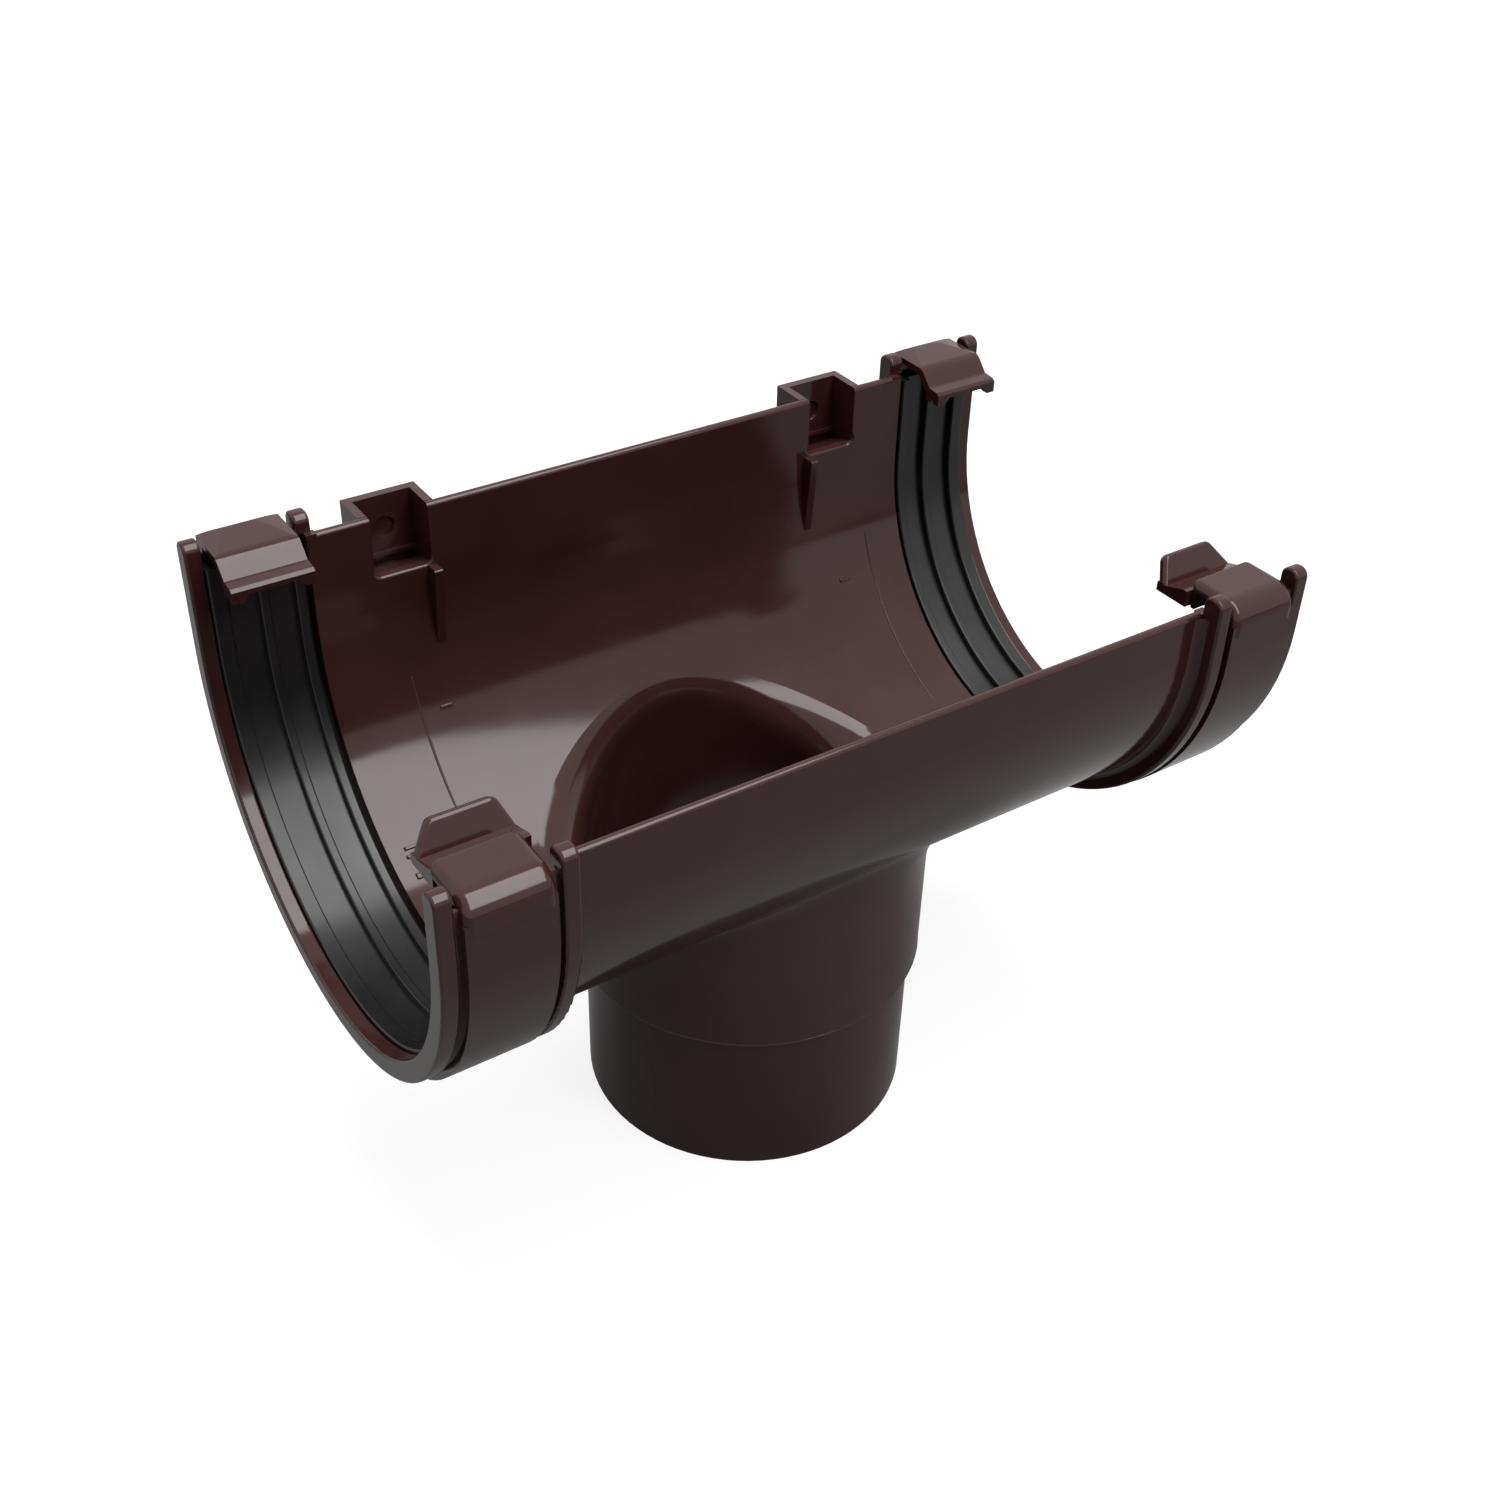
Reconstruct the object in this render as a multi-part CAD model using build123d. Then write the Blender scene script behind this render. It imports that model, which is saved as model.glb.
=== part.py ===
"""Half-round gutter running outlet with snap-in gutter sockets and a downpipe spigot.

Millimetres. +Z is up, X runs along the gutter, +Y is the wall side and -Y the front.
The origin is the middle of the open lower end of the spigot.
"""
import os

from build123d import *

# Spigot and funnel
spigot_radius = 40.0
spigot_wall = 2.2
spigot_length = 41.0
spigot_edge_round = 0.6
funnel_step = 2.1
funnel_wall = 2.2
funnel_drop = 27.2
funnel_round_outside = 8.0
funnel_round_inside = 12.0

# Trough
trough_radius = 56.7
trough_wall = 2.2
front_rim_rise = 11.3
back_rim_rise = 22.9
rim_round = 1.0

# Lengths of one end, from the middle of the trough outwards
trough_half_length = 78.1
inner_rib_width = 3.7
inner_groove_width = 1.2
band_width = 18.2
outer_groove_width = 1.1
end_rib_width = 3.7
rib_root_round = 2.6
root_sink = 0.05

# Radii of one end
band_step = 5.1
band_wall = 2.9
inner_rib_fall = 0.3
end_rib_fall = 1.2
groove_depth = 2.0
gutter_step = 1.5
mouth_clearance = 0.6
seat_lap = 1.8
weld_overlap = 0.5

# Ears, the tops of the ribs
front_ear_rise = 4.6
back_ear_rise = 4.2
ear_round = 2.2
inner_rib_round = 0.7
end_rib_round = 0.6

# Front clip, which hooks over the bead of the gutter
front_clip_rise = 2.3
front_clip_reach = 14.7
front_clip_skirt = 7.5
clip_skin = 0.4
clip_wall = 2.2
front_clip_round = 5.0
clip_edge_round = 0.8
front_end_round = 1.9
front_hook_drop = 6.4
shelf_drop = 3.6
shelf_reach = 6.6
tab_height = 4.9
tab_lean = 3.0
tab_wall = 2.4
tab_overhang = 1.8
tab_outer_inset = 0.4
tab_inner_taper = 2.1
tab_outer_taper = 4.0
tab_corner_round = 2.0
tab_round = 0.9

# Back clip, which holds the tall edge of the gutter
back_clip_rise = 3.8
back_clip_crown = 0.9
back_bend_round = 4.0
back_clip_flat = 12.0
back_clip_fall = 0.8
back_clip_skirt = 5.2
back_slope_reach = 4.6
back_slope_drop = 5.0
back_hook_drop = 8.2
back_clip_round = 1.6
lip_reach = 2.8
lip_wall = 1.6
lip_root = 1.2
lip_brow = 0.9
lip_bevel = 0.6
lip_height = 3.4
lip_notch_inset = 3.6
lip_notch_slant = 2.6
lip_notch_height = 1.7

# Fixing pockets in the back wall
pocket_centre = 58.6
pocket_width = 13.8
pocket_wall = 2.0
pocket_depth = 7.1
pocket_throat = 4.0
pocket_back_wall = 2.2
pocket_height = 15.0
pocket_floor_fall = 2.9
pocket_corner_round = 1.6
pocket_lip_round = 0.7
slot_height = 3.0
slot_depth = 1.2
ledge_reach = 0.9
ledge_height = 0.9
dimple_radius = 3.1
dimple_depth = 0.9
dimple_drop = 8.1

# Gussets under the pockets
gusset_width = 2.0
gusset_reach = 3.4
gusset_toe = 1.5
gusset_height = 20.0
gusset_gap = 0.3

# Rubber seals
seal_base = 2.2
seal_rib_height = 1.7
seal_outer_rib = 3.7
seal_middle_rib = 2.2
seal_inner_rib = 2.4
seal_middle_share = 0.45
seal_clearance = 0.05
seal_inner_gap = 1.3
seal_front_drop = 2.6
seal_back_drop = 2.0
seal_rib_round = 0.45

# Worked-out sizes
funnel_radius = spigot_radius + funnel_step
axis_z = spigot_length + funnel_drop + trough_radius
front_rim_z = axis_z + front_rim_rise
back_rim_z = axis_z + back_rim_rise
trough_inner_radius = trough_radius - trough_wall
band_radius = trough_radius + band_step
seat_radius = band_radius - band_wall
groove_radius = band_radius - groove_depth
inner_rib_radius = band_radius - inner_rib_fall
end_rib_radius = band_radius - end_rib_fall
gutter_radius = trough_radius - gutter_step
mouth_radius = gutter_radius + mouth_clearance
inner_rib_end = trough_half_length + inner_rib_width
band_start = inner_rib_end + inner_groove_width
band_end = band_start + band_width
seat_start = inner_rib_end - seat_lap
tab_start = band_start - tab_overhang
tab_end = band_end - tab_outer_inset
end_rib_start = band_end + outer_groove_width
half_length = end_rib_start + end_rib_width
front_ear_z = front_rim_z + front_ear_rise
back_ear_z = back_rim_z + back_ear_rise
above_all = back_ear_z + 40.0
ends = (-1, 1)


def u_face(radius, front_top, back_top):
    """Filled U section in the YZ plane: a half circle with a straight wall up each side."""
    half_circle = ThreePointArc((radius, axis_z), (0, axis_z - radius), (-radius, axis_z))
    step = [] if front_top == back_top else [(0, front_top), (0, back_top)]
    sides = Polyline(
        (-radius, axis_z), (-radius, front_top), *step, (radius, back_top), (radius, axis_z)
    )
    return make_face(Plane.YZ * (half_circle + sides))


def u_ring_face(inner, outer, front_top, back_top, corner=0.0):
    """U-shaped ring section between two radii, its top corners rounded if asked."""
    ring = u_face(outer, front_top, back_top) - u_face(inner, above_all, above_all)
    if corner > 0:
        tops = [v for v in ring.vertices() if v.Z > front_top - 0.01 and v.Y < 0]
        tops += [v for v in ring.vertices() if v.Z > back_top - 0.01 and v.Y > 0]
        ring = fillet(tops, corner)
    return ring


def along_x(face, start, length):
    """Extrude a YZ face along +X from a start plane."""
    return Pos(start, 0, 0) * extrude(face, length, dir=(1, 0, 0))


def end_span(face, side, inner_x, outer_x):
    """Extrude a YZ face over the span of one end, inner_x to outer_x from the middle."""
    start = inner_x if side > 0 else -outer_x
    return along_x(face, start, outer_x - inner_x)


def upright_cylinder(radius, low, high):
    """Solid cylinder about the spigot axis between two heights."""
    align = (Align.CENTER, Align.CENTER, Align.MIN)
    return Pos(0, 0, low) * Cylinder(radius, high - low, align=align)


def yz_polygon(points):
    """Closed face in the YZ plane from (y, z) corner points."""
    return make_face(Plane.YZ * Polyline(*points, close=True))


def make_trough():
    """Trough and funnel as one shell, with the large rounds where they meet."""
    outer_face = u_face(trough_radius, front_rim_z, back_rim_z)
    outer = along_x(outer_face, -trough_half_length, 2 * trough_half_length)
    inner = along_x(u_face(trough_inner_radius, above_all, above_all), -half_length, 2 * half_length)
    inner_floor = spigot_length + funnel_wall
    outer += upright_cylinder(funnel_radius, spigot_length, axis_z - trough_radius / 2)
    bore_radius = funnel_radius - funnel_wall
    inner += upright_cylinder(bore_radius, inner_floor, axis_z)
    outer = fillet(meeting_edges(outer, funnel_radius), funnel_round_outside)
    inner = fillet(meeting_edges(inner, bore_radius), funnel_round_inside)
    inner += upright_cylinder(spigot_radius - spigot_wall, 0, axis_z)
    shell = outer - inner
    rims = [e for e in shell.edges() if e.length > trough_half_length and is_rim(e)]
    return fillet(rims, rim_round)


def meeting_edges(solid, radius):
    """Edges where an upright cylinder of this radius runs into the trough."""
    low = spigot_length + funnel_wall + 1.0
    found = []
    for edge in solid.edges():
        middle = edge @ 0.5
        round_plan = abs((middle.X**2 + middle.Y**2) ** 0.5 - radius) < 0.01
        if round_plan and low < middle.Z < axis_z - 1.0 and edge.geom_type != GeomType.LINE:
            found.append(edge)
    return found


def is_rim(edge):
    """True for a long edge that lies at the top of the front or the back wall."""
    z = (edge @ 0.5).Z
    return abs(z - front_rim_z) < 0.01 or abs(z - back_rim_z) < 0.01


def make_spigot():
    """Plain pipe end below the step of the funnel."""
    bore_radius = spigot_radius - spigot_wall
    pipe = upright_cylinder(spigot_radius, 0, spigot_length + funnel_wall / 2)
    pipe -= upright_cylinder(bore_radius, 0, spigot_length + funnel_wall)
    lower = [e for e in pipe.edges() if abs((e @ 0.5).Z) < 0.01 and abs(e.radius - bore_radius) < 0.01]
    return fillet(lower, spigot_edge_round)


def make_rib_root(side):
    """Concave round between the trough wall and the inner rib, carried along the U."""
    x0 = trough_half_length - rib_root_round + root_sink
    x1 = trough_half_length + weld_overlap
    r0 = trough_radius - weld_overlap
    r1 = trough_radius + rib_root_round - root_sink
    bow = rib_root_round * (1 - 0.5**0.5)

    def outline(place):
        """The root section, with place turning (x, radius) into a point of the model."""
        foot = place(x0, trough_radius - root_sink)
        middle = place(trough_half_length + root_sink - bow, trough_radius - root_sink + bow)
        tip = place(trough_half_length + root_sink, r1)
        arc = ThreePointArc(foot, middle, tip)
        rest = Polyline(tip, place(x1, r1), place(x1, r0), place(x0, r0), foot)
        return make_face(arc + rest)

    bottom = revolve(
        outline(lambda x, r: (side * x, -r, axis_z)),
        Axis((0, 0, axis_z), (1, 0, 0)),
        180,
    )
    front = extrude(outline(lambda x, r: (side * x, -r, axis_z)), front_rim_rise - rim_round, dir=(0, 0, 1))
    back = extrude(outline(lambda x, r: (side * x, r, axis_z)), back_rim_rise - rim_round, dir=(0, 0, 1))
    return bottom + front + back


def make_rib(side, inner, outer, start, end, edge_round):
    """Rib of a socket: a U ring with ears, its edges rounded on both sides."""
    rib = end_span(u_ring_face(inner, outer, front_ear_z, back_ear_z, ear_round), side, start, end)
    side_edges = [e for e in rib.edges() if abs((e @ 0.5).X - (e @ 0.0).X) < 0.01]
    return fillet(side_edges, edge_round)


def make_socket(side):
    """Gutter socket of one end: wall, two ribs with ears, band and seal seat."""
    weld_radius = trough_radius - weld_overlap
    rim_tops = (front_rim_z, back_rim_z)
    front_band_z = front_rim_z + front_clip_rise - front_clip_round
    back_band_z = back_rim_z + back_clip_rise - back_clip_crown - back_clip_round
    wall_face = u_ring_face(trough_inner_radius, trough_radius, *rim_tops)
    wall = end_span(wall_face, side, trough_half_length - weld_overlap, seat_start)
    rib = make_rib(side, weld_radius, inner_rib_radius, trough_half_length, inner_rib_end, inner_rib_round)
    rib -= end_span(u_face(seat_radius, *rim_tops), side, seat_start, half_length)
    floor_face = u_ring_face(seat_radius, groove_radius, *rim_tops)
    seat_floor = end_span(floor_face, side, seat_start, end_rib_start + weld_overlap)
    band_face = u_ring_face(seat_radius, band_radius, front_band_z, back_band_z)
    band = end_span(band_face, side, band_start, band_end)
    end_rib = make_rib(side, mouth_radius, end_rib_radius, end_rib_start, half_length, end_rib_round)
    return wall + rib + make_rib_root(side) + seat_floor + band + end_rib


def section_corner(section, y, z):
    """The corner of a YZ section at this place."""
    return [v for v in section.vertices() if abs(v.Y - y) < 0.01 and abs(v.Z - z) < 0.01]


def make_front_clip(side):
    """Clip bent over the front edge, with an inner hook, a sloping shelf and a thumb tab."""
    face_y = -(band_radius + clip_skin)
    top_z = front_rim_z + front_clip_rise
    hook_y = face_y + front_clip_reach
    under_z = top_z - clip_wall
    hook_z = top_z - front_hook_drop
    shelf_z = top_z - shelf_drop
    shelf_y = hook_y + shelf_reach
    section = yz_polygon(
        [
            (face_y, top_z - front_clip_skirt),
            (face_y, top_z),
            (hook_y, top_z),
            (hook_y, shelf_z - clip_wall),
            (hook_y - clip_wall / 2, hook_z),
            (hook_y - clip_wall, hook_z),
            (hook_y - clip_wall, under_z),
            (-seat_radius, under_z),
            (-seat_radius, top_z - front_clip_skirt),
        ]
    )
    section = fillet(section_corner(section, face_y, top_z), front_clip_round)
    section = fillet(section_corner(section, hook_y, top_z), clip_edge_round)
    clip = end_span(section, side, band_start, band_end)
    clip = fillet(clip_end_edges(clip, top_z), front_end_round)
    shelf_section = yz_polygon(
        [
            (hook_y - clip_wall / 2, top_z - front_end_round),
            (hook_y, top_z - front_end_round),
            (shelf_y - tab_wall / 2, shelf_z),
            (shelf_y + tab_wall / 2, shelf_z),
            (shelf_y + tab_wall / 2, shelf_z - clip_wall),
            (hook_y - clip_wall / 2, shelf_z - clip_wall),
        ]
    )
    shelf = end_span(shelf_section, side, tab_start, tab_end)
    return clip + shelf + make_tab(side, shelf_y, shelf_z)


def clip_end_edges(clip, top_z):
    """The level edges along Y at the two ends of a clip's top."""
    found = []
    for edge in clip.edges():
        start = edge @ 0.0
        finish = edge @ 1.0
        at_top = abs(start.Z - top_z) < 0.01 and abs(finish.Z - top_z) < 0.01
        if at_top and abs(start.X - finish.X) < 0.01:
            found.append(edge)
    return found


def make_tab(side, foot_y, foot_z):
    """Thumb tab: a plate with slanted sides that rises from the shelf and leans inwards."""
    normal = (0, -side * tab_height, side * tab_lean)
    plate = Plane(origin=(0, foot_y, foot_z), x_dir=(side, 0, 0), z_dir=normal)
    length = (tab_height**2 + tab_lean**2) ** 0.5
    up = 1 if plate.y_dir.Z > 0 else -1
    root = -up * clip_wall / 2
    outline = Polyline(
        (tab_start, root),
        (tab_end, root),
        (tab_end, 0),
        (tab_end - tab_outer_taper, up * length),
        (tab_start + tab_inner_taper, up * length),
        (tab_start, 0),
        close=True,
    )
    face = make_face(outline)
    top = [v for v in face.vertices() if abs(v.Y) > 0.5 * length]
    face = fillet(top, tab_corner_round)
    body = extrude(plate * face, tab_wall / 2, both=True)
    rim = body.edges().filter_by(lambda e: (e @ 0.5).Z > foot_z + 0.6 * tab_height and e.length > tab_wall)
    return fillet(rim, tab_round)


def make_back_clip(side):
    """Clip bent over the back edge, sloping down to a hook with a notched lip."""
    face_y = band_radius + clip_skin
    top_z = back_rim_z + back_clip_rise
    bend_y = face_y - back_clip_flat
    bend_z = top_z - back_clip_fall
    nose_y = bend_y - back_slope_reach
    nose_z = bend_z - back_slope_drop
    hook_z = top_z - back_hook_drop
    section = yz_polygon(
        [
            (face_y, top_z - back_clip_skirt),
            (face_y, top_z),
            (bend_y, bend_z),
            (nose_y, nose_z),
            (nose_y, hook_z),
            (nose_y + clip_wall, hook_z),
            (nose_y + clip_wall, nose_z - clip_wall / 3),
            (bend_y + clip_wall / 3, bend_z - clip_wall),
            (seat_radius, top_z - clip_wall),
            (seat_radius, top_z - back_clip_skirt),
        ]
    )
    section = fillet(section_corner(section, face_y, top_z), back_clip_round)
    section = fillet(section_corner(section, bend_y, bend_z), back_bend_round)
    clip = end_span(section, side, band_start, band_end) & make_crown(side, top_z)
    brow_z = nose_z + lip_brow
    lip_foot_z = brow_z - lip_height
    lip_front_y = nose_y - lip_reach
    lip_section = yz_polygon(
        [
            (nose_y + lip_root, nose_z + lip_root),
            (lip_front_y + lip_wall / 2, brow_z),
            (lip_front_y, brow_z - lip_bevel),
            (lip_front_y, lip_foot_z),
            (lip_front_y + lip_wall, lip_foot_z),
            (nose_y + weld_overlap, nose_z - lip_root),
        ]
    )
    lip = end_span(lip_section, side, band_start, band_end)
    notch_low = lip_foot_z - lip_wall
    notch_top = lip_foot_z + lip_notch_height
    spread = lip_notch_slant
    x0 = band_start + lip_notch_inset
    x1 = band_end - lip_notch_inset
    notch_outline = Polyline(
        (side * (x0 - spread), notch_low),
        (side * x0, notch_top),
        (side * x1, notch_top),
        (side * (x1 + spread), notch_low),
        close=True,
    )
    notch = extrude(make_face(Plane.XZ * notch_outline), 2 * lip_reach, both=True)
    notch = Pos(0, nose_y - 2 * lip_reach, 0) * notch
    return clip + (lip - notch)


def make_crown(side, top_z):
    """Block under a shallow arch, which gives the top of the back clip its crown."""
    low_z = back_rim_z - back_hook_drop - back_clip_skirt
    end_z = top_z - back_clip_crown
    x0 = side * band_start
    x1 = side * band_end
    arch = ThreePointArc((x0, end_z), ((x0 + x1) / 2, top_z), (x1, end_z))
    rest = Polyline((x1, end_z), (x1, low_z), (x0, low_z), (x0, end_z))
    face = make_face(Plane.XZ * (arch + rest))
    return extrude(face, 2 * band_radius, both=True)


def pocket_block(side):
    """Solid outside of a fixing pocket, before its cavity is cut."""
    outer_y = trough_radius + pocket_depth + pocket_back_wall
    root_y = trough_radius - weld_overlap
    lip_z = back_rim_z - pocket_height
    section = yz_polygon(
        [
            (root_y, back_rim_z),
            (outer_y, back_rim_z),
            (outer_y, lip_z - pocket_floor_fall - pocket_wall),
            (root_y, lip_z - pocket_wall),
        ]
    )
    start = side * pocket_centre - pocket_width / 2 - pocket_wall
    return along_x(section, start, pocket_width + 2 * pocket_wall)


def pocket_cavity(side):
    """Cavity of a fixing pocket: open above and in front, with a slot and a dimple behind."""
    back_y = trough_radius + pocket_depth
    lip_z = back_rim_z - pocket_height
    floor_z = lip_z - pocket_floor_fall
    front_y = trough_inner_radius - pocket_throat
    section = yz_polygon(
        [
            (front_y, above_all),
            (front_y, lip_z),
            (trough_radius, lip_z),
            (back_y + slot_depth, floor_z),
            (back_y + slot_depth, floor_z + slot_height),
            (back_y - ledge_reach, floor_z + slot_height),
            (back_y - ledge_reach, floor_z + slot_height + ledge_height),
            (back_y, floor_z + slot_height + ledge_height),
            (back_y, above_all),
        ]
    )
    room = along_x(section, side * pocket_centre - pocket_width / 2, pocket_width)
    low_corners = [e for e in room.edges() if is_pocket_corner(e, lip_z)]
    room = fillet(low_corners, pocket_corner_round)
    dimple_place = Plane(
        origin=(side * pocket_centre, back_y, back_rim_z - dimple_drop), x_dir=(1, 0, 0), z_dir=(0, 1, 0)
    )
    dimple = dimple_place * Cone(dimple_radius, dimple_radius - dimple_depth, 2 * dimple_depth)
    return room + dimple


def is_pocket_corner(edge, lip_z):
    """True for a lower corner of the pocket's opening in the trough wall, a level edge along Y."""
    start = edge @ 0.0
    finish = edge @ 1.0
    level = abs(start.Z - lip_z) < 0.01 and abs(finish.Z - lip_z) < 0.01
    return level and abs(start.Y - finish.Y) > 0.01


def make_gusset(side):
    """Thin triangular rib inside the trough below the inner corner of a pocket."""
    top_z = back_rim_z - pocket_height - gusset_gap
    section = yz_polygon(
        [
            (trough_radius, top_z),
            (trough_inner_radius - gusset_reach, top_z),
            (trough_inner_radius - gusset_toe, top_z - gusset_height),
            (trough_radius, top_z - gusset_height),
        ]
    )
    section = section & u_face(trough_radius - weld_overlap, above_all, above_all)
    outer_x = pocket_centre - pocket_width / 2 + gusset_width / 2
    rib = end_span(section, side, outer_x - gusset_width, outer_x)
    nose = [e for e in rib.edges() if abs((e @ 0.5).Y - (trough_inner_radius - gusset_reach)) < 0.01]
    return fillet(nose, gusset_width / 4)


def make_body():
    """The whole moulding: trough, funnel, spigot, two sockets, clips and pockets."""
    body = make_trough() + make_spigot()
    for side in ends:
        body += make_socket(side)
        body += make_front_clip(side)
        body += make_back_clip(side)
        body += pocket_block(side)
    for side in ends:
        body -= pocket_cavity(side)
    lips = [e for e in body.edges() if is_pocket_lip(e)]
    body = fillet(lips, pocket_lip_round)
    for side in ends:
        body += make_gusset(side)
    return body


def is_pocket_lip(edge):
    """True for the long level edge where a pocket opens into the trough."""
    middle = edge @ 0.5
    at_wall = abs(middle.Y - trough_inner_radius) < 0.01
    at_lip = abs(middle.Z - (back_rim_z - pocket_height)) < 0.01
    return at_wall and at_lip and edge.length > pocket_width / 2


def make_seal(side):
    """Rubber seal of one socket: a thin base with three raised ribs along the U."""
    outer = seat_radius - seal_clearance
    base_inner = outer - seal_base
    tip_inner = base_inner - seal_rib_height
    tops = (front_rim_z - seal_front_drop, back_rim_z - seal_back_drop)
    start = seat_start + seal_inner_gap
    end = end_rib_start - seal_clearance
    base = end_span(u_ring_face(base_inner, outer, *tops), side, start, end)
    middle = start + (end - start) * seal_middle_share
    ribs = (
        (start, start + seal_inner_rib),
        (middle - seal_middle_rib / 2, middle + seal_middle_rib / 2),
        (end - seal_outer_rib, end),
    )
    seal = base
    for rib_start, rib_end in ribs:
        rib = end_span(u_ring_face(tip_inner, outer, *tops), side, rib_start, rib_end)
        edges = [e for e in rib.edges() if on_inner_face(e, tip_inner)]
        seal += fillet(edges, seal_rib_round)
    return seal


def on_inner_face(edge, radius):
    """True for a U edge at constant x that lies on the inner radius of a ring."""
    middle = edge @ 0.5
    if abs(middle.X - (edge @ 0.0).X) > 0.01:
        return False
    if middle.Z < axis_z:
        distance = ((middle.Z - axis_z) ** 2 + middle.Y**2) ** 0.5
    else:
        distance = abs(middle.Y)
    return abs(distance - radius) < 0.01


os.makedirs("parts", exist_ok=True)
export_step(make_body(), "parts/outlet_body.step")
export_step(make_seal(-1), "parts/seal_left.step")
export_step(make_seal(1), "parts/seal_right.step")
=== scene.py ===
"""Looks of a half-round gutter outlet: glossy brown moulded plastic with two rubber seals.

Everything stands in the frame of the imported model: X along the gutter, +Y the wall side,
+Z up, and the origin in the middle of the spigot's open lower end. Lengths are in metres,
apart from those of the fine relief, which are in millimetres and say so.
"""

import logging
import math
from dataclasses import dataclass
from enum import Enum

import bpy
import numpy as np
from mathutils import Matrix


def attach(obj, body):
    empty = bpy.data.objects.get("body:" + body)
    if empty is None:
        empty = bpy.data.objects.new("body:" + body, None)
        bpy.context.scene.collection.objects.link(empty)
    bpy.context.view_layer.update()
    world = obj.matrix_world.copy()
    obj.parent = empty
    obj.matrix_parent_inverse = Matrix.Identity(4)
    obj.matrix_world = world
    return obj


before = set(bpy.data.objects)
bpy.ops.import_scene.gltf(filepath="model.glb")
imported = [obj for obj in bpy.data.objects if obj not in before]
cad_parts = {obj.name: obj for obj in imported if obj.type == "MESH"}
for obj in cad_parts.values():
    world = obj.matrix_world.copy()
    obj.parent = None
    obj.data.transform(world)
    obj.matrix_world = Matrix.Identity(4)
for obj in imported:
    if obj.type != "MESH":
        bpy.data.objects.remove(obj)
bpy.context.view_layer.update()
LOG = logging.getLogger("outlet")
MM = 0.001
BODY = "root"
WHITE = (1.0, 1.0, 1.0, 1.0)


class Slot(Enum):
    """Material slots of the part."""

    PLASTIC = "brown_plastic"
    RUBBER = "seal_rubber"


class Node(Enum):
    """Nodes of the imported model."""

    BODY = "outlet_body"
    SEAL_LEFT = "seal_left"
    SEAL_RIGHT = "seal_right"


class MixSocket(Enum):
    """Places of the colour sockets among the sockets of a mix node."""

    SHARE = 0
    LOW = 6
    HIGH = 7
    RESULT = 2


@dataclass(frozen=True)
class NodeCanvas:
    """Places shader nodes in a tree and wires them."""

    tree: bpy.types.NodeTree

    def add(self, kind: str, **settings: object) -> bpy.types.Node:
        """Adds a node.

        Args:
            kind: the node's type name.
            settings: the attributes to set on it.

        Returns:
            The new node.
        """
        node = self.tree.nodes.new(kind)
        for name, value in settings.items():
            setattr(node, name, value)
        return node

    def put(self, value: object, target: bpy.types.NodeSocket) -> None:
        """Wires an output socket to an input socket, or sets the input to a plain value.

        Args:
            value: a number, colour or output socket.
            target: the input socket.
        """
        if isinstance(value, bpy.types.NodeSocket):
            self.tree.links.new(value, target)
        else:
            target.default_value = value

    def feed(self, node: bpy.types.Node, **values: object) -> bpy.types.Node:
        """Sets or wires a node's inputs by name, with _ for a space.

        Args:
            node: the node whose inputs are set.
            values: a number, colour or socket for each input.

        Returns:
            The same node.
        """
        for name, value in values.items():
            self.put(value, node.inputs[name.replace("_", " ")])
        return node

    def math(self, operation: str, first: object, second: object) -> bpy.types.NodeSocket:
        """Works out one operation on two values.

        Args:
            operation: the operation's type name.
            first, second: a number or socket each.

        Returns:
            The result's socket.
        """
        node = self.add("ShaderNodeMath", operation=operation)
        self.put(first, node.inputs[0])
        self.put(second, node.inputs[1])
        return node.outputs[0]

    def blend(self, share: object, low: object, high: object) -> bpy.types.NodeSocket:
        """Mixes two colours.

        Args:
            share: how much of the second colour is taken, from 0 to 1.
            low, high: the first and the second colour.

        Returns:
            The mixed colour's socket.
        """
        node = self.add("ShaderNodeMix", data_type="RGBA")
        self.put(share, node.inputs[MixSocket.SHARE.value])
        self.put(low, node.inputs[MixSocket.LOW.value])
        self.put(high, node.inputs[MixSocket.HIGH.value])
        return node.outputs[MixSocket.RESULT.value]


@dataclass(frozen=True)
class MouldSkin:
    """Shared skin of a moulded surface: slow waves with fine pores on them.

    Attributes:
        name: the node group's name.
        wave_share, pore_share: how much of the height the waves and the pores take up.
    """

    name: str = "mould_skin"
    wave_share: float = 0.8
    pore_share: float = 0.2

    def build(self) -> bpy.types.NodeTree:
        """Makes the node group, or takes the one that is there.

        Its height is the wave noise and the pore noise, each times its share, added up.

        Returns:
            A group with the inputs Wave Size and Pore Size, a mask Mottle and a Height.
        """
        found = bpy.data.node_groups.get(self.name)
        if found:
            return found
        tree = bpy.data.node_groups.new(self.name, "ShaderNodeTree")
        for title in ("Wave Size", "Pore Size"):
            tree.interface.new_socket(title, in_out="INPUT", socket_type="NodeSocketFloat")
        for title in ("Mottle", "Height"):
            tree.interface.new_socket(title, in_out="OUTPUT", socket_type="NodeSocketFloat")
        c = NodeCanvas(tree)
        given = c.add("NodeGroupInput").outputs
        place = c.add("ShaderNodeTexCoord").outputs["Object"]
        wave = c.add("ShaderNodeTexNoise")
        c.feed(wave, Vector=place, Scale=given["Wave Size"], Detail=2.0)
        pore = c.add("ShaderNodeTexNoise")
        c.feed(pore, Vector=place, Scale=given["Pore Size"], Detail=3.0)
        swell = c.math("MULTIPLY", wave.outputs[0], self.wave_share)
        grain = c.math("MULTIPLY", pore.outputs[0], self.pore_share)
        height = c.math("ADD", swell, grain)
        c.feed(c.add("NodeGroupOutput"), Mottle=wave.outputs[0], Height=height)
        return tree


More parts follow.
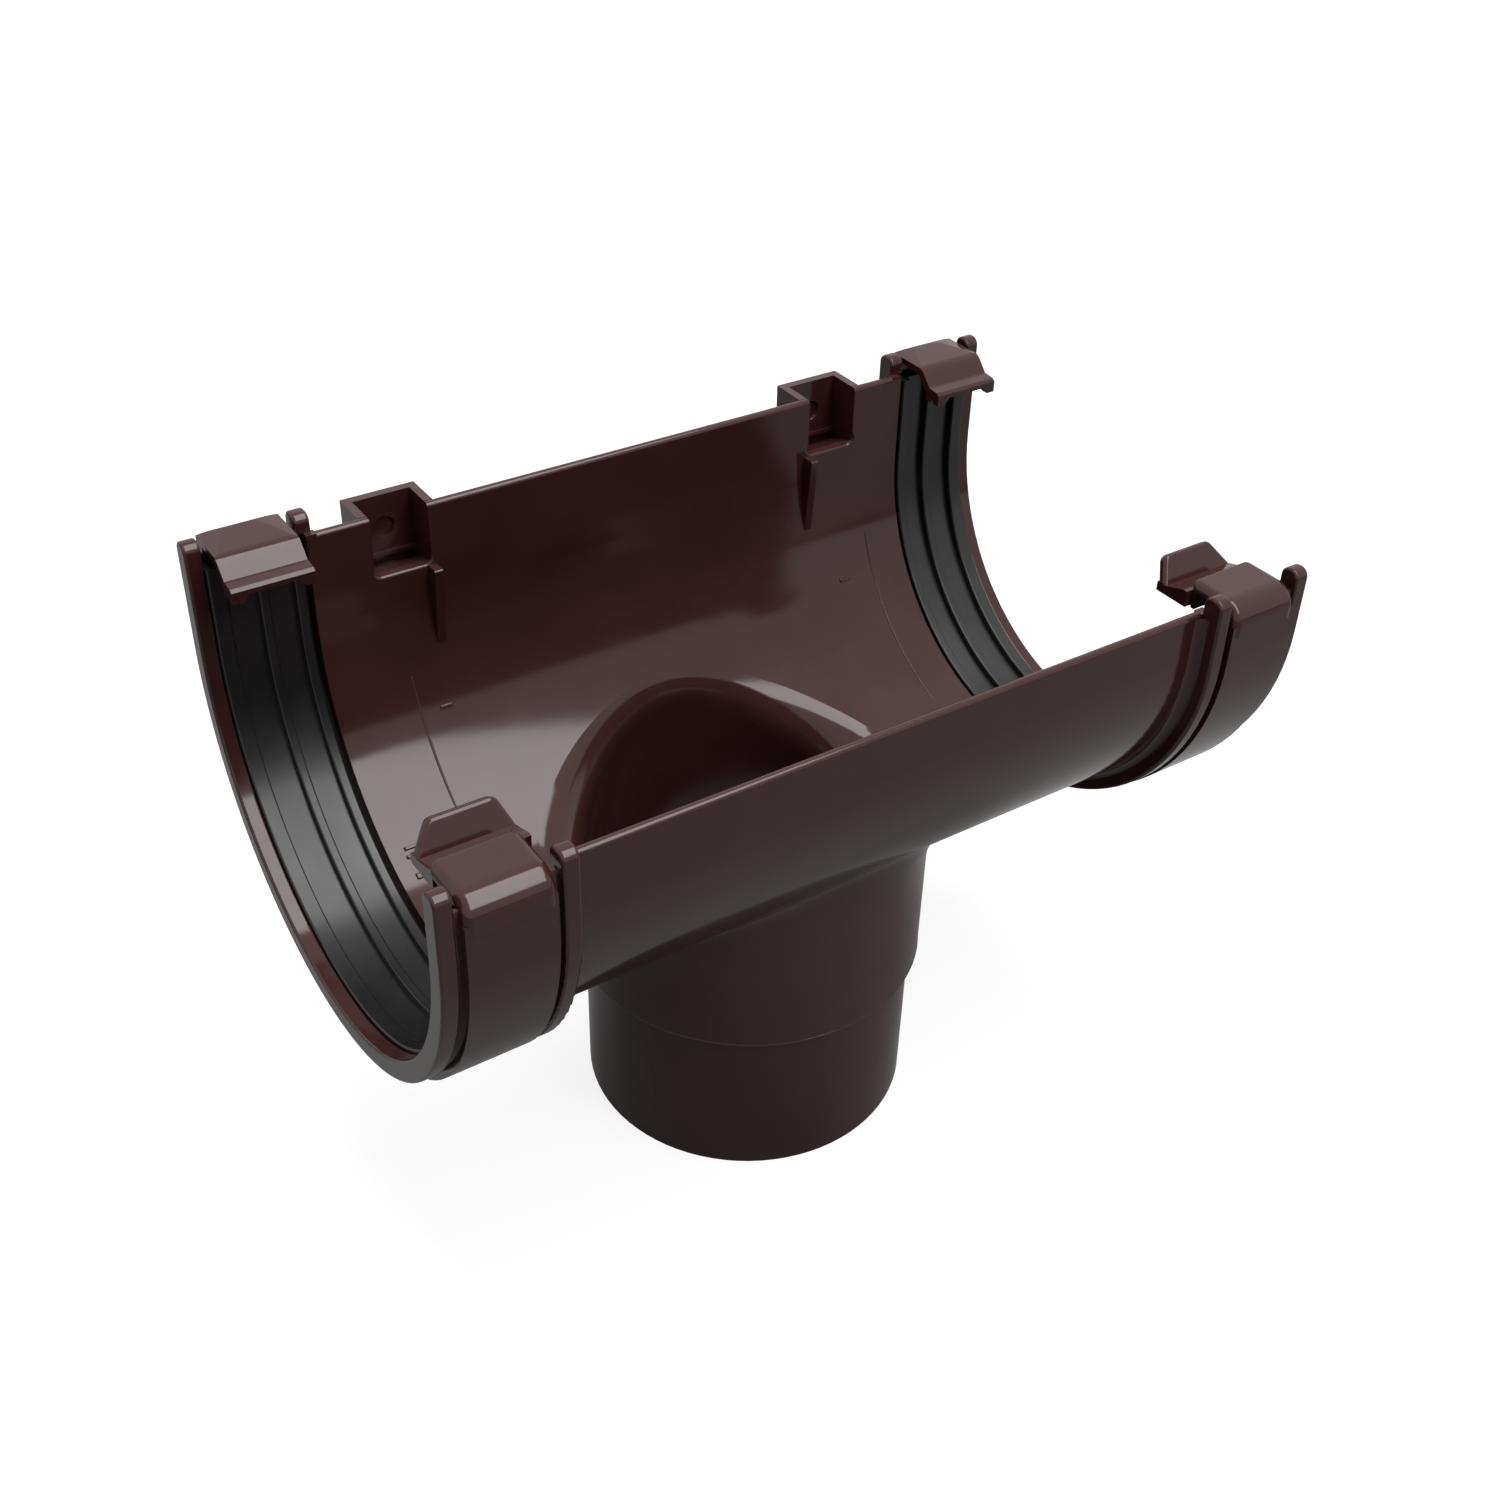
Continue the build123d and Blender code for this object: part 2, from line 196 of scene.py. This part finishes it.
@dataclass(frozen=True)
class Finish:
    """One finish of the part.

    Attributes:
        slot: the material slot it stands for.
        dark, light: the base colour in the skin's low and high places.
        roughness: how matt the skin is in its low and high places.
        bump: depth of the skin's unevenness, in metres.
        specular: level of the reflection.
        pore_size: pores to a metre.
        wave_size: waves to a metre.
        wave_span: the wave noise at which a place counts as low and as high.
    """

    slot: Slot
    dark: tuple[float, float, float]
    light: tuple[float, float, float]
    roughness: tuple[float, float]
    bump: float
    specular: float
    pore_size: float
    wave_size: float = 60.0
    wave_span: tuple[float, float] = (0.3, 0.7)

    def build(self) -> bpy.types.Material:
        """Makes the material: the shared skin's mask spreads its colour and roughness.

        Returns:
            The material, named after its slot.
        """
        material = bpy.data.materials.new(self.slot.value)
        material.use_nodes = True
        c = NodeCanvas(material.node_tree)
        skin = c.add("ShaderNodeGroup", node_tree=MouldSkin().build())
        c.feed(skin, Wave_Size=self.wave_size, Pore_Size=self.pore_size)
        low, high = self.wave_span
        spread = c.add("ShaderNodeMapRange")
        c.feed(spread, Value=skin.outputs["Mottle"], From_Min=low, From_Max=high)
        smooth, matt = self.roughness
        rough = c.add("ShaderNodeMapRange")
        c.feed(rough, Value=spread.outputs[0], To_Min=smooth, To_Max=matt)
        relief = c.add("ShaderNodeBump")
        c.feed(relief, Height=skin.outputs["Height"], Distance=self.bump, Strength=1.0)
        c.feed(
            material.node_tree.nodes["Principled BSDF"],
            Base_Color=c.blend(spread.outputs[0], (*self.dark, 1.0), (*self.light, 1.0)),
            Roughness=rough.outputs[0],
            Normal=relief.outputs[0],
            IOR=1.5,
            Specular_IOR_Level=self.specular,
        )
        return material


BROWN_GLOSS = Finish(
    slot=Slot.PLASTIC,
    dark=(0.034, 0.0115, 0.0110),
    light=(0.041, 0.0142, 0.0136),
    roughness=(0.09, 0.13),
    bump=0.00001,
    specular=0.36,
    pore_size=2500.0,
)
BLACK_RUBBER = Finish(
    slot=Slot.RUBBER,
    dark=(0.0050, 0.0048, 0.0049),
    light=(0.0076, 0.0073, 0.0075),
    roughness=(0.26, 0.34),
    bump=0.00002,
    specular=0.45,
    pore_size=3500.0,
)


@dataclass(frozen=True)
class LampPanel:
    """A soft rectangular lamp that shines straight down.

    Attributes:
        name: the lamp's name.
        place: its middle, in metres.
        size: its extent along X and Y, in metres.
        glow: how bright its face is, where 1 is white.
        mirrored: whether glossy surfaces show it.
    """

    name: str
    place: tuple[float, float, float]
    size: tuple[float, float]
    glow: float
    mirrored: bool = True

    def build(self) -> None:
        """Adds the lamp, whose power is its glow times its area times pi."""
        data = bpy.data.lights.new(self.name, "AREA")
        data.shape = "RECTANGLE"
        data.size, data.size_y = self.size
        data.energy = self.glow * self.size[0] * self.size[1] * math.pi
        lamp = bpy.data.objects.new(self.name, data)
        bpy.context.scene.collection.objects.link(lamp)
        lamp.location = self.place
        lamp.visible_glossy = self.mirrored


@dataclass(frozen=True)
class Studio:
    """Pale floor, white world, soft lamps and the camera at the photograph's angle.

    Attributes:
        azimuth, elevation, roll: the camera's direction, in degrees.
        distance: from the camera to its aim point, in metres.
        slide: how far the aim point lies right of and above the origin in the picture.
        sensor: width of the camera's sensor, in mm.
        focal_share: focal length as a share of the sensor's width.
        floor_reach: half the floor's width, in metres.
        floor_tone: the floor's grey to the light that it passes on, and to the camera.
        floor_glow: the floor's own light, which brings it up to white for the camera.
        floor_gloss: the share of that light which glossy surfaces show.
        world_seen: the world's strength in what the camera and reflections see.
        world_light: its strength as light on matt surfaces.
        lamps: the soft lamps.
    """

    azimuth: float = -34.36
    elevation: float = 35.75
    roll: float = 1.56
    distance: float = 0.475
    slide: tuple[float, float] = (0.0004, 0.0778)
    sensor: float = 36.0
    focal_share: float = 1.219316
    floor_reach: float = 6.0
    floor_tone: tuple[float, float] = (0.22, 0.27)
    floor_glow: float = 0.84
    floor_gloss: float = 0.12
    world_seen: float = 1.0
    world_light: float = 0.3
    lamps: tuple[LampPanel, ...] = (
        LampPanel("lamp_ceiling", (0.38, -0.87, 1.30), (0.56, 2.05), 6.5),
        LampPanel("lamp_top", (0.0, 0.25, 1.60), (0.80, 0.80), 10.0, mirrored=False),
    )

    def camera(self) -> None:
        """Places the camera: the view axes are turned by azimuth, elevation and then roll."""
        a, e, r = (math.radians(v) for v in (self.azimuth, self.elevation, self.roll))
        back = np.array([math.sin(a) * math.cos(e), -math.cos(a) * math.cos(e), math.sin(e)])
        right = np.array([math.cos(a), math.sin(a), 0.0])
        up = np.cross(back, right)
        rolled_right = math.cos(r) * right + math.sin(r) * up
        rolled_up = -math.sin(r) * right + math.cos(r) * up
        aim = rolled_right * self.slide[0] + rolled_up * self.slide[1]
        data = bpy.data.cameras.new("camera")
        data.sensor_width = self.sensor
        data.lens = self.sensor * self.focal_share
        data.clip_start = 0.01
        data.clip_end = 50.0
        camera = bpy.data.objects.new("camera", data)
        bpy.context.scene.collection.objects.link(camera)
        axes = Matrix([rolled_right, rolled_up, back]).transposed()
        camera.matrix_world = Matrix.Translation(aim + back * self.distance) @ axes.to_4x4()
        bpy.context.scene.camera = camera

    def floor(self) -> None:
        """Lays a wide flat sheet under the spigot, white to the camera apart from the shadow."""
        reach = self.floor_reach
        corners = [(-reach, -reach, 0), (reach, -reach, 0), (reach, reach, 0), (-reach, reach, 0)]
        mesh = bpy.data.meshes.new("floor")
        mesh.from_pydata(corners, [], [(0, 1, 2, 3)])
        sheet = bpy.data.objects.new("floor", mesh)
        bpy.context.scene.collection.objects.link(sheet)
        material = bpy.data.materials.new("floor_paper")
        material.use_nodes = True
        c = NodeCanvas(material.node_tree)
        path = c.add("ShaderNodeLightPath").outputs
        shown = c.math("ADD", path["Is Camera Ray"], path["Is Transmission Ray"])
        gloss = c.math("MULTIPLY", path["Is Glossy Ray"], self.floor_gloss)
        passed_on, seen = ((tone, tone, tone, 1.0) for tone in self.floor_tone)
        c.feed(
            material.node_tree.nodes["Principled BSDF"],
            Base_Color=c.blend(shown, passed_on, seen),
            Roughness=0.9,
            Specular_IOR_Level=0.0,
            Emission_Color=WHITE,
            Emission_Strength=c.math("MULTIPLY", c.math("ADD", shown, gloss), self.floor_glow),
        )
        mesh.materials.append(material)

    def world(self) -> None:
        """Makes a plain white world, which is stronger where it is seen than as light."""
        world = bpy.data.worlds.new("studio")
        bpy.context.scene.world = world
        world.use_nodes = True
        c = NodeCanvas(world.node_tree)
        c.tree.nodes.clear()
        path = c.add("ShaderNodeLightPath").outputs
        shown = c.math("ADD", path["Is Camera Ray"], path["Is Glossy Ray"])
        shown = c.math("MINIMUM", c.math("ADD", shown, path["Is Transmission Ray"]), 1.0)
        extra = c.math("MULTIPLY", shown, self.world_seen - self.world_light)
        sky = c.add("ShaderNodeBackground")
        c.feed(sky, Color=WHITE, Strength=c.math("ADD", extra, self.world_light))
        c.feed(c.add("ShaderNodeOutputWorld"), Surface=sky.outputs[0])

    def build(self) -> None:
        """Sets up the whole studio."""
        bpy.context.scene.view_settings.view_transform = "Standard"
        self.camera()
        self.floor()
        self.world()
        for lamp in self.lamps:
            lamp.build()


def add_grid(name: str, points: np.ndarray, material: bpy.types.Material) -> None:
    """Makes a smooth piece from a grid of points and lets it ride on the part.

    Each face joins four neighbouring points, and the piece's object sits at the origin.

    Args:
        name: the piece's name.
        points: rows by columns by 3, in metres.
        material: the piece's finish.
    """
    rows, columns = points.shape[:2]
    index = np.arange(rows * columns).reshape(rows, columns)
    corners = (index[:-1, :-1], index[:-1, 1:], index[1:, 1:], index[1:, :-1])
    faces = np.stack(corners, axis=-1).reshape(-1, 4)
    mesh = bpy.data.meshes.new(name)
    mesh.from_pydata(points.reshape(-1, 3).tolist(), [], faces.tolist())
    mesh.shade_smooth()
    mesh.materials.append(material)
    piece = bpy.data.objects.new(name, mesh)
    bpy.context.scene.collection.objects.link(piece)
    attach(piece, BODY)
    LOG.info("added %s with %d faces", name, len(mesh.polygons))


@dataclass(frozen=True)
class TroughBore:
    """The inside of the trough, on which the fine relief stands.

    Attributes:
        radius: inner radius of the half round, in mm.
        axis_z: height of its axis, in mm.
    """

    radius: float = 54.5
    axis_z: float = 124.9

    def point(self, x: np.ndarray, angle: np.ndarray, rise: np.ndarray) -> np.ndarray:
        """Works out points of the bore.

        Y is the radius less the rise, times the sine of the angle, and z is the axis height
        less that same reach times the cosine of the angle.

        Args:
            x: place along the gutter, in mm.
            angle: angle round the axis from straight down towards the wall, in radians.
            rise: height above the bore towards the axis, in mm.

        Returns:
            The points, in metres.
        """
        reach = self.radius - rise
        y = reach * np.sin(angle)
        z = self.axis_z - reach * np.cos(angle)
        return np.stack([x, y, z], axis=-1) * MM


@dataclass(frozen=True)
class FlowRidge:
    """A hair-thin ridge round the trough, which fades out at both ends.

    Attributes:
        name: the piece's name.
        x: its place along the gutter, in mm.
        start, end: its span round the axis, in degrees from straight down towards the wall.
        width, height: its section, in mm.
        sunk: how deep its edges lie in the wall, in mm.
        fade: power of the sine along it; the smaller it is, the later the ridge fades.
        crown: power of the cosine across it; the smaller it is, the flatter the top.
        steps: number of points along and across it.
        bore: the wall that it stands on.
    """

    name: str
    x: float
    start: float
    end: float
    width: float = 0.7
    height: float = 0.3
    sunk: float = 0.02
    fade: float = 0.25
    crown: float = 0.7
    steps: tuple[int, int] = (97, 9)
    bore: TroughBore = TroughBore()

    def build(self, material: bpy.types.Material) -> None:
        """Adds the ridge.

        Its swell is half a sine wave along it to the power of fade. The height is the swell
        times half a cosine wave across it to the power of crown, and the width is the swell
        times the full width.

        Args:
            material: the ridge's finish.
        """
        along = np.linspace(0.0, 1.0, self.steps[0])[:, None]
        across = np.linspace(-0.5, 0.5, self.steps[1])[None, :]
        swell = np.sin(np.pi * along) ** self.fade
        rise = self.height * swell * np.cos(np.pi * across) ** self.crown - self.sunk
        angle = np.radians(self.start + (self.end - self.start) * along) + 0.0 * across
        x = self.x + self.width * swell * across
        add_grid(self.name, self.bore.point(x, angle, rise), material)


@dataclass(frozen=True)
class PadMark:
    """A small raised bar on the trough wall, with rounded edges.

    Attributes:
        name: the piece's name.
        x: its middle along the gutter, in mm.
        angle: its middle round the axis, in degrees from straight down towards the wall.
        length, width, height: its size along X, round the axis and off the wall, in mm.
        sunk: how deep its edges lie in the wall, in mm.
        edge_power: how sharply it falls off towards its ends and its long sides.
        steps: number of points along and across it.
        bore: the wall that it stands on.
    """

    name: str
    x: float
    angle: float
    length: float
    width: float = 0.9
    height: float = 0.5
    sunk: float = 0.05
    edge_power: tuple[int, int] = (16, 8)
    steps: tuple[int, int] = (33, 17)
    bore: TroughBore = TroughBore()

    def build(self, material: bpy.types.Material) -> None:
        """Adds the bar.

        A place on it runs from -1 to 1 along and across, closer together towards the edges
        as a sine is. The height is the root of one less a power of the place along, times
        one less a power of the place across.

        Args:
            material: the bar's finish.
        """
        along = np.sin(np.linspace(-0.5, 0.5, self.steps[0]) * np.pi)[:, None]
        across = np.sin(np.linspace(-0.5, 0.5, self.steps[1]) * np.pi)[None, :]
        end_fall = 1.0 - np.abs(along) ** self.edge_power[0]
        side_fall = 1.0 - np.abs(across) ** self.edge_power[1]
        rise = self.height * np.sqrt(end_fall * side_fall) - self.sunk
        x = self.x + 0.5 * self.length * along + 0.0 * across
        half_turn = 0.5 * self.width / self.bore.radius
        angle = np.radians(self.angle) + half_turn * across + 0.0 * along
        add_grid(self.name, self.bore.point(x, angle, rise), material)


@dataclass(frozen=True)
class StepBead:
    """The hair-thin rounded edge all round the foot of the funnel, which catches the light.

    Attributes:
        name: the piece's name.
        radius: outer radius of the funnel, in mm.
        foot_z: height of the step, in mm.
        tube, proud: radius of the edge and how far it stands out of the wall, in mm.
        sweep: how far its arc goes down and up from its outermost point, in degrees.
        steps: number of points round the spigot and round the arc.
    """

    name: str
    radius: float = 42.1
    foot_z: float = 41.0
    tube: float = 0.35
    proud: float = 0.1
    sweep: float = 80.0
    steps: tuple[int, int] = (193, 17)

    def build(self, material: bpy.types.Material) -> None:
        """Adds the edge: a circle's outer arc carried round the spigot axis.

        Args:
            material: the edge's finish.
        """
        turn = np.linspace(0.0, 2.0 * np.pi, self.steps[0])[:, None]
        arc = np.radians(np.linspace(-self.sweep, self.sweep, self.steps[1]))[None, :]
        reach = self.radius + self.proud - self.tube + self.tube * np.cos(arc)
        z = self.foot_z + self.tube + self.tube * np.sin(arc) + 0.0 * turn
        points = np.stack([reach * np.cos(turn), reach * np.sin(turn), z], axis=-1) * MM
        add_grid(self.name, points, material)


RELIEF = (
    StepBead("step_edge"),
    FlowRidge("ridge_left", x=-60.6, start=30.0, end=71.0),
    FlowRidge("ridge_right", x=69.3, start=18.0, end=72.0),
    PadMark("dash_left", x=-54.3, angle=61.2, length=3.3),
    PadMark("dash_right", x=60.5, angle=60.3, length=3.6),
    PadMark("stop_upper", x=-74.0, angle=31.1, length=4.2),
    PadMark("stop_lower", x=-74.2, angle=28.9, length=4.4),
    PadMark("stop_end", x=-75.2, angle=23.4, length=2.2, width=1.6),
)


def dress_frame(finishes: dict[Node, Finish]) -> dict[Slot, bpy.types.Material]:
    """Gives each carried-over node its finish.

    Args:
        finishes: the finish of each node.

    Returns:
        The material made for each slot.
    """
    made: dict[Slot, bpy.types.Material] = {}
    for node, finish in finishes.items():
        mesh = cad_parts[node.value].data
        if finish.slot not in made:
            made[finish.slot] = finish.build()
        mesh.materials.clear()
        mesh.materials.append(made[finish.slot])
        LOG.info("dressed %s with %s", node.value, finish.slot.value)
    return made


def main() -> None:
    """Builds the studio and dresses the part."""
    logging.basicConfig(level=logging.INFO)
    Studio().build()
    made = dress_frame(
        {Node.BODY: BROWN_GLOSS, Node.SEAL_LEFT: BLACK_RUBBER, Node.SEAL_RIGHT: BLACK_RUBBER}
    )
    for mark in RELIEF:
        mark.build(made[Slot.PLASTIC])


if __name__ == "__main__":
    main()
